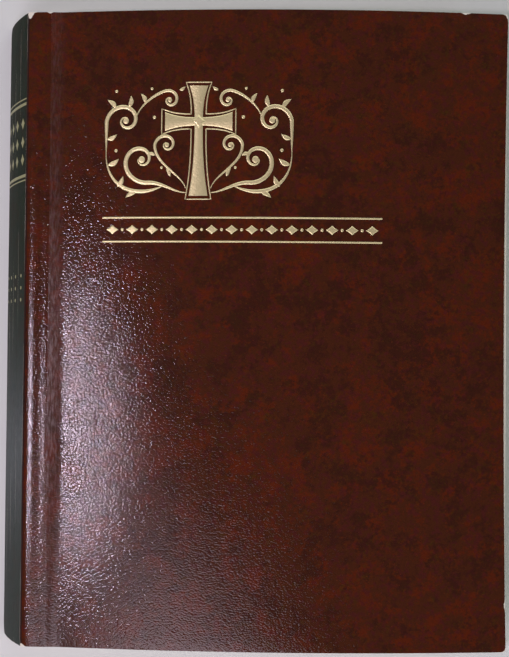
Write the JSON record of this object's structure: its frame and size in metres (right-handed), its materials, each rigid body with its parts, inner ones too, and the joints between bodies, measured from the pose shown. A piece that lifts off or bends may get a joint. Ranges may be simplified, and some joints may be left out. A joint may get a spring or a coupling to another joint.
{
  "type": "softcover bible",
  "caption": "Softcover bible of thin paper, lying shut, with a bowed cover, a leaning spine, opening covers and page packets.",
  "frame": {"origin": "middle of the rectangle that the closed book covers, at the level of the table", "axes": "+X from spine to fore edge, +Y from tail to head, +Z from back cover to front cover"},
  "size_m": [0.1898, 0.235, 0.0366],
  "materials": {
    "cover_card": "laminated card printed as mottled dark red-brown leather",
    "bible_paper": "thin opaque paper",
    "endpaper": "stiffer uncoated paper",
    "adhesive": "set hot-melt adhesive"
  },
  "bodies": {
    "middle_packet_back": {"spine_card_3": "cover_card", "spine_glue_3": "adhesive", "section_09": "bible_paper", "section_10": "bible_paper", "section_11": "bible_paper", "section_12": "bible_paper"},
    "middle_packet_front": {"spine_card_2": "cover_card", "spine_glue_2": "adhesive", "section_05": "bible_paper", "section_06": "bible_paper", "section_07": "bible_paper", "section_08": "bible_paper"},
    "front_packet": {"spine_card_1": "cover_card", "spine_glue_1": "adhesive", "front_hinge_strip": "cover_card", "front_side_glue": "adhesive", "front_endleaf_strip": "endpaper", "section_01": "bible_paper", "section_02": "bible_paper", "section_03": "bible_paper", "section_04": "bible_paper"},
    "back_packet": {"spine_card_4": "cover_card", "spine_glue_4": "adhesive", "back_hinge_strip": "cover_card", "back_side_glue": "adhesive", "back_endleaf_strip": "endpaper", "section_13": "bible_paper", "section_14": "bible_paper", "section_15": "bible_paper", "section_16": "bible_paper"},
    "front_cover": {"front_cover": "cover_card"},
    "front_leaf": {"front_endleaf": "endpaper"},
    "back_cover": {"back_cover": "cover_card"},
    "back_leaf": {"back_endleaf": "endpaper"}
  },
  "joints": [
    {"name": "middle_opening", "type": "hinge", "parent": "middle_packet_back", "child": "middle_packet_front", "pos_m": [-0.09027, 0, 0.01482], "axis": [0, -1, 0], "range_deg": [0, 65]},
    {"name": "front_opening", "type": "hinge", "parent": "middle_packet_front", "child": "front_packet", "pos_m": [-0.08731, 0, 0.02164], "axis": [0, -1, 0], "range_deg": [0, 65]},
    {"name": "back_opening", "type": "hinge", "parent": "middle_packet_back", "child": "back_packet", "pos_m": [-0.09273, 0, 0.00801], "axis": [0, -1, 0], "range_deg": [-65, 0]},
    {"name": "front_cover_hinge", "type": "hinge", "parent": "front_packet", "child": "front_cover", "pos_m": [-0.0745, 0, 0.02965], "axis": [0, -1, 0], "range_deg": [0, 160]},
    {"name": "front_leaf_hinge", "type": "hinge", "parent": "front_packet", "child": "front_leaf", "pos_m": [-0.0742, 0, 0.02895], "axis": [0, -1, 0], "range_deg": [0, 80]},
    {"name": "back_cover_hinge", "type": "hinge", "parent": "back_packet", "child": "back_cover", "pos_m": [-0.0865, 0, 0], "axis": [0, -1, 0], "range_deg": [-165, 0]},
    {"name": "back_leaf_hinge", "type": "hinge", "parent": "back_packet", "child": "back_leaf", "pos_m": [-0.0862, 0, 0.0007], "axis": [0, -1, 0], "range_deg": [-82.5, 0]}
  ],
  "couplings": [
    {"joint": "front_leaf_hinge", "follows": "front_cover_hinge", "ratio": 0.5},
    {"joint": "back_leaf_hinge", "follows": "back_cover_hinge", "ratio": 0.5}
  ]
}
